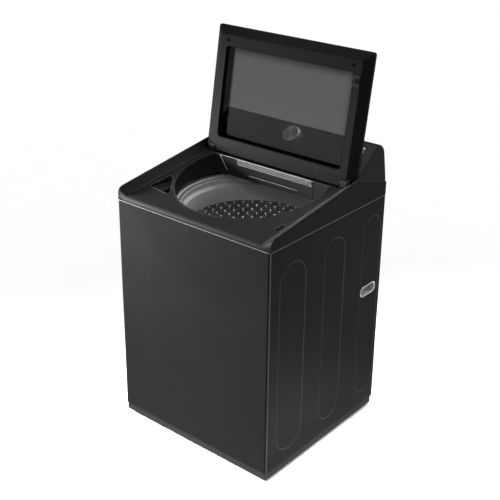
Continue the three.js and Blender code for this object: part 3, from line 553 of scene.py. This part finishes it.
def gussets():
    """Corner plates that the suspension rods hang from."""
    low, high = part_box("cabinet_wrap")
    leg, inset, thickness, hole = 172 * MM, 14 * MM, 2 * MM, 4.6 * MM
    side_gap, end_gap, rod_above = 2 * MM, 4 * MM, 9.4 * MM
    plates = []
    for corner in CORNERS:
        rod_low, rod_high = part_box("suspension_rod_" + corner)
        rod = (rod_low + rod_high) / 2
        i, j = math.copysign(1, rod.x), math.copysign(1, rod.y)
        x = (high.x if i > 0 else low.x) - i * side_gap
        y = (high.y if j > 0 else low.y) - j * end_gap
        outline = [(x, y - j * inset), (x, y - j * leg), (x - i * leg, y), (x - i * inset, y)]
        top = rod_high.z - rod_above
        plates.append(plate(outline, top - thickness, top, [circle(rod.x, rod.y, hole, 16)]))
    trim("suspension_gussets", soften(merged(*plates), 0.3 * MM, 1), "cabinet_wrap", "zinc_plate")


def screw(at, axis, radius):
    """A hexagon head with its washer face."""
    rim, edge, top = radius * 1.35, 0.7 * MM, 1 * MM
    washer = lathe([(0, 0), (rim, 0), (rim, edge), (radius, top), (0, top)], turns=24)
    head = plate(circle(0, 0, radius * 0.95, 6), 0.8 * MM, 3 * MM)
    return moved(merged(soften(washer, 0.1 * MM, 1), soften(head, 0.3 * MM, 1)), along(axis, at))


def rear_panel():
    """A zinc sheet with pressed stiffening outlines, air slots and two holes for the ports."""
    low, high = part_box("rear_panel")
    inset, sheet = 1.4 * MM, 1.2 * MM
    holes = []
    for node, radius in (("drain_outlet", 19.3), ("power_cord_gland", 11.3)):
        centre = sum(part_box(node), Vector()) / 2
        holes.append(circle(centre.x, centre.z, radius * MM, 32))
    slot_left, slot_right, slot_height, slot_end = -260 * MM, -180 * MM, 6 * MM, 2.9 * MM
    for z in range(110, 200, 15):
        holes.append(rounded_rectangle(slot_left, slot_right, z * MM, z * MM + slot_height, slot_end, 4))
    fields = ((-285, -30, 330, 780), (30, 200, 330, 780), (-150, 150, 100, 270))
    corner = 44
    rings = []
    for x0, x1, z0, z1 in fields:
        for shrink, depth in ((0, 0), (7, 3), (20, 3), (27, 0)):
            box = [v * MM for v in (x0 + shrink, x1 - shrink, z0 + shrink, z1 - shrink)]
            rings.append((rounded_rectangle(*box, (corner - shrink) * MM, 8), -depth * MM))
    outline = rectangle(low.x, high.x, low.z, high.z)
    skin = pressed_sheet(outline, rings, holes, lambda x, z, d: (x, low.y + inset + d, z))
    solidified(stand_in("rear_panel", facing(skin, BACKWARDS), 20), sheet)


def rear_screws():
    """Screws up the rear panel's two flanges, and on the brace above it."""
    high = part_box("cabinet_wrap")[1]
    gap, flange_inset, brace_drop = 0.1 * MM, 12 * MM, 16 * MM
    flanges = [side * (high.x - flange_inset) for side in SIDES.values()]
    places = [(x, z * MM) for x in flanges for z in range(90, 850, 150)]
    places += [(x * MM, high.z - brace_drop) for x in range(-270, 271, 135)]
    heads = [screw((x, high.y + gap, z), BACKWARDS, 3 * MM) for x, z in places]
    trim("rear_panel_screws", merged(*heads), "rear_panel", "bright_steel")


def foot(node):
    """A levelling foot: a round pad under a threaded stud."""
    low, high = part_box(node)
    crest, root, thread_foot, half_pitch, stud, top = 5.9, 5.1, 9.5, 0.75, 5, 62
    pad = [(0, 0), (21, 0), (23.4, 1.2), (24, 3), (23, 6), (15, 7.4), (9, 7.8), (crest, 7.9)]
    threads = [(crest if k % 2 else root, thread_foot + k * half_pitch) for k in range(68)]
    profile = scaled(pad + threads + [(stud, top), (0, top)])
    body = lathe(profile, 48, ((low.x + high.x) / 2, (low.y + high.y) / 2))
    stand_in(node, soften(body, 0.3 * MM, 2, 60))


def base_and_feet():
    stand_in("base_frame", fine("base_frame", 0.8 * MM))
    for corner in CORNERS:
        foot("foot_" + corner)


def side_grips():
    for side in SIDES:
        stand_in("side_grip_" + side, fine("side_grip_" + side, 1.2 * MM, 3))


# ---------------------------------------------------------------- rear ports


def rear_port(node):
    """A CAD node's length backwards in millimetres, and the move from +Z to its place."""
    low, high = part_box(node)
    centre = (low + high) / 2
    return (high.y - low.y) / MM, along(BACKWARDS, (centre.x, low.y, centre.z))


def spigot(node, radius, bore):
    """A pipe end with a flange inside the rear panel, and up to three barbs where it is long enough."""
    length, place = rear_port(node)
    panel = (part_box("rear_panel")[1].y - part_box(node)[0].y) / MM
    flange, flange_start, flange_end = radius + 6, panel - 4.9, panel - 2.1
    profile = [(bore, 0), (radius, 0), (radius, flange_start)]
    profile += [(flange, flange_start), (flange, flange_end), (radius, flange_end)]
    for k in range(3):
        if panel + 2 + k < length:
            profile += [(radius - 0.1, panel + 0.1 + k), (radius - 0.9, panel + 0.9 + k)]
    profile += [(radius, length - 0.2), (radius - 1, length), (bore, length)]
    stand_in(node, soften(moved(lathe(scaled(profile), turns=48), place), 0.3 * MM))


def fill_valve(node):
    """A square valve body with a threaded nozzle."""
    low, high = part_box(node)
    half, depth, corner = (high.x - low.x) / 2, 41 * MM, 5 * MM
    crest, root, thread_start, half_pitch, bore = 12.9, 11.8, 45, 0.9, 9
    length, place = rear_port(node)
    body = moved(plate(rounded_rectangle(-half, half, -half, half, corner), 0, depth), place)
    threads = [(crest if k % 2 else root, thread_start + k * half_pitch) for k in range(23)]
    profile = [(bore, 38), (12, 38)] + threads + [(12.4, length), (bore, length)]
    nozzle = recalculated(moved(lathe(scaled(profile), turns=48), place))
    stand_in(node, merged(soften(body, 1.5 * MM, 3), nozzle))


def ports():
    spigot("drain_outlet", radius=19, bore=15)
    spigot("power_cord_gland", radius=11, bore=5)
    fill_valve("water_valve_hot")
    fill_valve("water_valve_cold")


# ---------------------------------------------------------------- deck, basin and console


def deck():
    stand_in("top_cover", fine("top_cover", 1.4 * MM, 3))
    stand_ins({
        "inlet_housing": 0.5, "dispenser_well": 1.0, "lid_lock_housing": 0.6, "hinge_block_left": 0.8,
        "hinge_block_right": 0.8, "lid_lock_bolt": 0.6, "basin_collar": 1.2})


def bars(lines, y):
    """Thin raised bars on an upright plane that faces the front: ((x, z), (x, z), width) in millimetres."""
    sunk, raised = 0.05, 0.7
    bm = bmesh.new()
    for start, end, width in lines:
        a, b = Vector(start) * MM, Vector(end) * MM
        side = (b - a).orthogonal().normalized() * width * MM / 2
        outline = [a - side, b - side, b + side, a + side]
        back, front = ([bm.verts.new((p.x, y - out * MM, p.y)) for p in outline] for out in (sunk, raised))
        bm.faces.new(front)
        bm.faces.new(back)
        bridge(bm, [front, back])
    return recalculated(bm)


def inlet_trims():
    """The louvre bars, the seam, and thin pale grey bars on the wall behind the basin, which are painted
    highlights along its top edge, a lower lip and a crease.
    """
    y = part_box("inlet_housing")[0].y
    left, right, lowest, pitch, shift, width = -148, 187, 940, 5.7, 2, 0.8
    louvres = []
    for k in range(4):
        z = lowest + pitch * k
        louvres.append(((left - shift * k, z), (right - shift * k, z), width))
    trim("inlet_louvres", bars(louvres, y), "inlet_housing", "grey_plastic")
    # Pale grey bars as painted highlights on the wall's top edge, a lower lip and a crease.
    lines = [((-230, 960), (190, 960), 0.9), ((-96, 909), (125, 909), 0.8), ((-234, 959), (-200, 907), 2.2)]
    trim("inlet_lines", bars(lines, y), "inlet_housing", "grey_plastic")
    trim("inlet_seam", bars([((192, 893), (192, 958), 1.4)], y), "inlet_housing", "rubber")


def rounded_ridge(width):
    """The console housing, with the two ends of its ridge well rounded."""
    bm = cad_mesh("console_housing")
    end, ridge_foot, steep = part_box("console_housing")[1].x - 0.1 * MM, 1030 * MM, 69

    def at_end(edge):
        return all(abs(v.co.x) > end and v.co.z > ridge_foot for v in edge.verts)

    bevelled(bm, [e for e in bm.edges if at_end(e) and turns_by(e, steep)], width, 5)
    return soften(bm, 1.4 * MM, 3)


def console():
    stand_in("console_housing", rounded_ridge(8 * MM))
    stand_in("control_fascia", fine("control_fascia", 0.5 * MM))
    stand_in("control_board", fine("control_board", 0.2 * MM, 1))


# ---------------------------------------------------------------- lid


def window_gasket():
    """A thin dark seal round the edge of the lid's window, laid out in the open lid's own leaning plane."""
    lean, facets, thickness, rise = math.radians(9.2), 6, 0.9 * MM, 21.4 * MM
    up, out = Vector((0, math.sin(lean), math.cos(lean))), Vector((0, -math.cos(lean), math.sin(lean)))
    lower_edge = Vector((0, 143.3, 975.1)) * MM
    loop = rounded_rectangle(-278 * MM, 278 * MM, 36 * MM, 371 * MM, 15 * MM, 8)
    bm = bmesh.new()
    sections = []
    for i, (x, height) in enumerate(loop):
        (x0, s0), (x1, s1) = loop[i - 1], loop[(i + 1) % len(loop)]
        side = Vector((s1 - s0, 0, 0)) - up * (x1 - x0)
        at = lower_edge + Vector((x, 0, 0)) + up * height + out * rise
        sections.append(wire_ring(bm, at, side.normalized(), out, thickness, facets))
    bridge(bm, sections, closed=True)
    trim("window_gasket", recalculated(bm), "lid_inner_frame", "rubber", 60)


def lid():
    stand_in("lid_frame", fine("lid_frame", 1.0 * MM, 3))
    stand_in("lid_inner_frame", fine("lid_inner_frame", 2.2 * MM, 3))
    stand_ins({
        "lid_glass": 0.5, "lid_hinge_cover_left": 0.5, "lid_hinge_cover_right": 0.5, "lid_latch_hook": 0.8,
        "lid_bumper_left": 0.7, "lid_bumper_right": 0.7, "hinge_pin_left": 0.4, "hinge_pin_right": 0.4})


# ---------------------------------------------------------------- washing unit


def drum_wall(radius, low, high):
    """Sheet with a staggered field of shallow pillows, each with a drain hole."""
    columns, rows = 46, 30
    pitch = (high - low) / rows
    step = TURN / columns
    size = radius * step
    share = 4096  # neighbours share a vertex where they agree to this part of a pillow
    bm = bmesh.new()
    made = {}

    def vert(u, v, rise):
        key = (round(u * share) % (columns * share), round(v * share), rise > 0)
        if key not in made:
            r, a = radius - rise, u * step
            made[key] = bm.verts.new((r * math.cos(a), r * math.sin(a), low + v * pitch))
        return made[key]

    around = [(-1, -1), (0, -1), (1, -1), (1, 0), (1, 1), (0, 1), (-1, 1), (-1, 0)]
    steps = scaled([(6.6, 0.01), (5.4, 1.5), (3.4, 2.7), (1.5, 3.1)])
    for row in range(rows):
        for column in range(columns):
            u, v = column + 0.5 * (row % 2), row + 0.5
            loops = [[vert(u + 0.5 * i, v + 0.5 * j, 0) for i, j in around]]
            for reach, rise in steps:
                unit = [Vector((i, j)).normalized() * reach for i, j in around]
                loops.append([vert(u + p.x / size, v + p.y / pitch, rise) for p in unit])
            bridge(bm, loops)
    return bm


def drum():
    """The perforated basket: a dished floor, a pillowed wall and a plain rim."""
    low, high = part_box("basket")
    count, knee, rim, inset, sheet = 144, 28 * MM, 6 * MM, 1.2 * MM, 1.0 * MM
    side = high.x - inset
    wall = drum_wall(side, low.z + knee, high.z - rim)
    ends = bmesh.new()
    edge = high.x / MM
    floor = scaled([(22, 0.6), (edge - 32, 0.6), (edge - 20, 3.5), (edge - 8, 11), (edge - 2.6, 20)])
    floor.append((side, knee))
    bridge(ends, [level_ring(ends, r, low.z + z, count) for r, z in floor])
    bridge(ends, [level_ring(ends, side, z, count) for z in (high.z - rim, high.z)])
    whole = merged(wall, ends)
    bmesh.ops.remove_doubles(whole, verts=whole.verts, dist=0.02 * MM)
    solidified(stand_in("basket", facing(whole, (0, 0, -1)), 40), -sheet, offset=0)


def rings():
    """The balance ring over the drum and the cover ring over the tub."""
    low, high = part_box("balance_ring")
    r, h = high.x / MM, (high.z - low.z) / MM
    inner = [(236, 2), (236.5, 8), (238.5, 40), (241.5, 58), (243, 60), (249, 64), (252.5, 68), (253, 72)]
    outer = [(253, h - 3), (254.5, h - 0.6), (256, h), (r - 1, h - 1), (r, h - 4), (r, 0), (238, 0)]
    ring = moved(lathe(scaled(inner + outer), turns=160), Matrix.Translation((0, 0, low.z)))
    stand_in("balance_ring", soften(ring, 0.6 * MM, 2, 25))
    stand_in("tub_cover_ring", fine("tub_cover_ring", 1.0 * MM))


def wash_plate():
    """A dished plate with four rounded fins that sweep into the hub, and the cap on its hub."""
    low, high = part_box("impeller")
    radius, bore, rim, chamfer = high.x, 12 * MM, 12 * MM, 4 * MM
    fins, fin_height, fin_start, fin_end, fin_sweep = 4, 17 * MM, 30 * MM, radius - 8 * MM, 0.55
    floor, rim_rise, hub_rise, hub_reach = 8 * MM, 10 * MM, 34 * MM, 62 * MM
    turns, steps = 160, 30

    def height(r, a):
        dish = floor + rim_rise * (r / radius) ** 3 + hub_rise * max(0.0, 1 - r / hub_reach) ** 1.4
        ridge = max(0.0, math.cos(fins * (a - fin_sweep * r / radius))) ** 5
        share = min(1.0, max(0.0, (r - fin_start) / (fin_end - fin_start)))
        return dish + fin_height * ridge * math.sin(math.pi * share) ** 0.7

    bm = bmesh.new()
    grid = []
    for k in range(steps + 1):
        r = bore + (radius - bore - 1 * MM) * k / steps
        grid.append(level_ring(bm, r, low.z, turns, lambda a: height(r, a)))
    for r, rise in ((radius, rim), (radius - chamfer, 0), (bore, 0)):
        grid.append(level_ring(bm, r, low.z + rise, turns))
    bridge(bm, grid, closed=True)
    stand_in("impeller", recalculated(bm), 45)

    cap = scaled([(0, 0), (38, 0), (39.6, 1.5), (39, 4), (34, 8), (24, 11.5), (12, 14), (0, 14.6)])
    cap = moved(lathe(cap, turns=64), Matrix.Translation((0, 0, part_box("impeller_cap")[0].z)))
    stand_in("impeller_cap", soften(cap, 0.5 * MM, 2, 50))


def spring(corner):
    """A wound wire."""
    node = "suspension_spring_" + corner
    low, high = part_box(node)
    centre = (low + high) / 2
    wire, gap, travel = 1.45 * MM, 0.2 * MM, 25 * MM
    turns, per_turn, facets = 6, 28, 10
    radius = (high.x - low.x) / 2 - wire - gap
    rise = high.z - low.z - 2 * wire
    bm = bmesh.new()
    sections = []
    for i in range(turns * per_turn + 1):
        a = TURN * i / per_turn
        z = low.z + wire + rise * i / (turns * per_turn)
        out = Vector((math.cos(a), math.sin(a), 0))
        sections.append(wire_ring(bm, Vector((centre.x, centre.y, z)) + radius * out, out, UP, wire, facets))
    bridge(bm, sections)
    bm.faces.new(sections[0])
    bm.faces.new(sections[-1])
    made = stand_in(node, recalculated(bm), 50)
    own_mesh(made)


def hidden_unit():
    """Tub, bearings, motor, pump, rods and springs, which the cabinet and the basket hide."""
    stand_ins({
        "outer_tub": 1.0, "basket_hub": 0.6, "bearing_housing": 0.8, "bearing_cartridge": 0.4,
        "main_seal": 0.3, "stator": 0.5, "rotor": 0.8, "drive_shaft": 0.5, "drain_pump": 1.2})
    for corner in CORNERS:
        stand_ins({"suspension_rod_" + corner: 0.4})
        spring(corner)


# ---------------------------------------------------------------- controls


def knob_place():
    """The move from +Z at the origin to the knob's axis, with the control panel's face at a height of 0."""
    joint = next(j for j in frame["joints"] if j["name"] == "knob_turn")
    return along(joint["axis"], Vector(joint["pos_m"]))


def knob():
    """A turned knob: a skirt, a straight side and a brushed, slightly dished top with a pointer."""
    profile = [(0, -17), (4, -17), (4, 0.7), (35.2, 0.7), (36, 1.6), (36, 3.4), (35.2, 4.2), (34.2, 5)]
    profile += [(34, 16), (33.4, 17.6), (32.2, 18.6), (30.6, 19), (29.6, 18.5), (0, 18.1)]
    body = soften(lathe(scaled(profile), turns=128), 0.25 * MM, 2, 40)
    piece("cycle_knob_surface", body, "brushed_knob", "knob", ("cycle_knob",), place=knob_place())
    outline = rounded_rectangle(-0.9 * MM, 0.9 * MM, 22 * MM, 29 * MM, 0.8 * MM, 4)
    pointer = moved(plate(outline, 18.2 * MM, 18.6 * MM), knob_place())
    piece("knob_pointer", pointer, "pale_grey", "knob")


def console_marks():
    """Plain printed marks on the control panel: a scale round the knob and short bars to both sides."""
    bottom, top = 0.12 * MM, 0.3 * MM
    marks = []
    for k in range(-9, 10):
        tick = plate(rectangle(-0.4 * MM, 0.4 * MM, 44 * MM, 47 * MM), bottom, top)
        marks.append(moved(tick, Matrix.Rotation(math.radians(15 * k), 4, "Z")))
    for x0, x1 in ((-240, -200), (-150, -110), (110, 150), (262, 280)):
        for y in (-10, 6, 22):
            marks.append(plate(rectangle(x0 * MM, x1 * MM, y * MM, (y + 0.9) * MM), bottom, top))
    trim("console_marks", moved(merged(*marks), knob_place()), "control_fascia", "grey_plastic")


def buttons():
    stand_ins({"start_button": 0.5, "pause_button": 0.5, "power_button": 0.5})


# ---------------------------------------------------------------- studio


def area_light(name, at, target, size, power, spread):
    """A rectangular lamp that shines at a target, with its spread in degrees."""
    data = bpy.data.lights.new(name, "AREA")
    data.shape = "RECTANGLE"
    data.size, data.size_y = size
    data.energy = power
    data.spread = math.radians(spread)
    lamp = bpy.data.objects.new(name, data)
    bpy.context.scene.collection.objects.link(lamp)
    lamp.location = at
    lamp.rotation_euler = (Vector(target) - Vector(at)).to_track_quat("-Z", "Y").to_euler()
    lamp.visible_camera = False


def paper_floor():
    """A wide sheet of white paper."""
    bm = bmesh.new()
    bmesh.ops.create_grid(bm, x_segments=1, y_segments=1, size=30)
    mesh = bpy.data.meshes.new("floor")
    bm.to_mesh(mesh)
    bm.free()
    made = bpy.data.objects.new("floor", mesh)
    bpy.context.scene.collection.objects.link(made)
    paper = surface("floor_paper", grey(0.95), 0.9, specular=0.0, grain=40, relief=0.02, mottling=0.01)
    mesh.materials.append(paper)


def sky():
    """White all round, a little brighter overhead."""
    world = bpy.data.worlds.new("studio")
    bpy.context.scene.world = world
    world.use_nodes = True
    tree = world.node_tree
    up = add(tree, "SeparateXYZ", {"Vector": add(tree, "TexCoord").outputs["Generated"]}).outputs["Z"]
    span, brightness = {"From Min": 0.1, "From Max": 0.9}, {"To Min": 0.9, "To Max": 1.12}
    strength = add(tree, "MapRange", {"Value": up, **span, **brightness})
    tree.nodes["Background"].inputs["Color"].default_value = (1, 1, 1, 1)
    tree.links.new(strength.outputs[0], tree.nodes["Background"].inputs["Strength"])


def lamps():
    """A strong key at the left, a rim light behind, weak lamps overhead, and a narrow strip in front."""
    area_light("key", (-1.75, -0.95, 1.05), (-0.35, -0.3, 0.7), (0.6, 0.6), 70, 55)
    area_light("rim", (1.6, 2.5, 2.8), (0.1, 0.0, 0.95), (0.5, 1.4), 5, 36)
    area_light("fill", (0.0, -1.6, 2.6), (0.0, 0.2, 0.85), (0.5, 0.5), 0.6, 40)
    area_light("wash", (0.85, -0.1, 2.6), (0.82, -0.1, 0.0), (0.3, 1.0), 7, 26)
    area_light("top", (0.0, 0.7, 2.9), (0.0, 0.25, 1.04), (0.5, 0.5), 5, 40)
    area_light("strip", (0.55, -2.6, 0.7), (0.34, -0.33, 0.5), (0.18, 1.3), 1.5, 60)


def camera():
    """Looks down at the front and the right side from a little over two metres up."""
    tilt, turn = 23.90, 41.06
    data = bpy.data.cameras.new("camera")
    data.sensor_width = 36
    data.lens = 72.5
    data.shift_x, data.shift_y = 0.0556, -0.0446
    made = bpy.data.objects.new("camera", data)
    bpy.context.scene.collection.objects.link(made)
    made.location = (2.0836, -2.5543, 2.2220)
    made.rotation_euler = (math.radians(90 - tilt), 0, math.radians(turn))
    bpy.context.scene.camera = made


bpy.context.scene.view_settings.view_transform = "Standard"
camera()
cabinet_skin()
gussets()
rear_panel()
rear_screws()
base_and_feet()
side_grips()
ports()
deck()
inlet_trims()
console()
console_marks()
knob()
buttons()
lid()
window_gasket()
drum()
rings()
wash_plate()
hidden_unit()
paper_floor()
sky()
lamps()
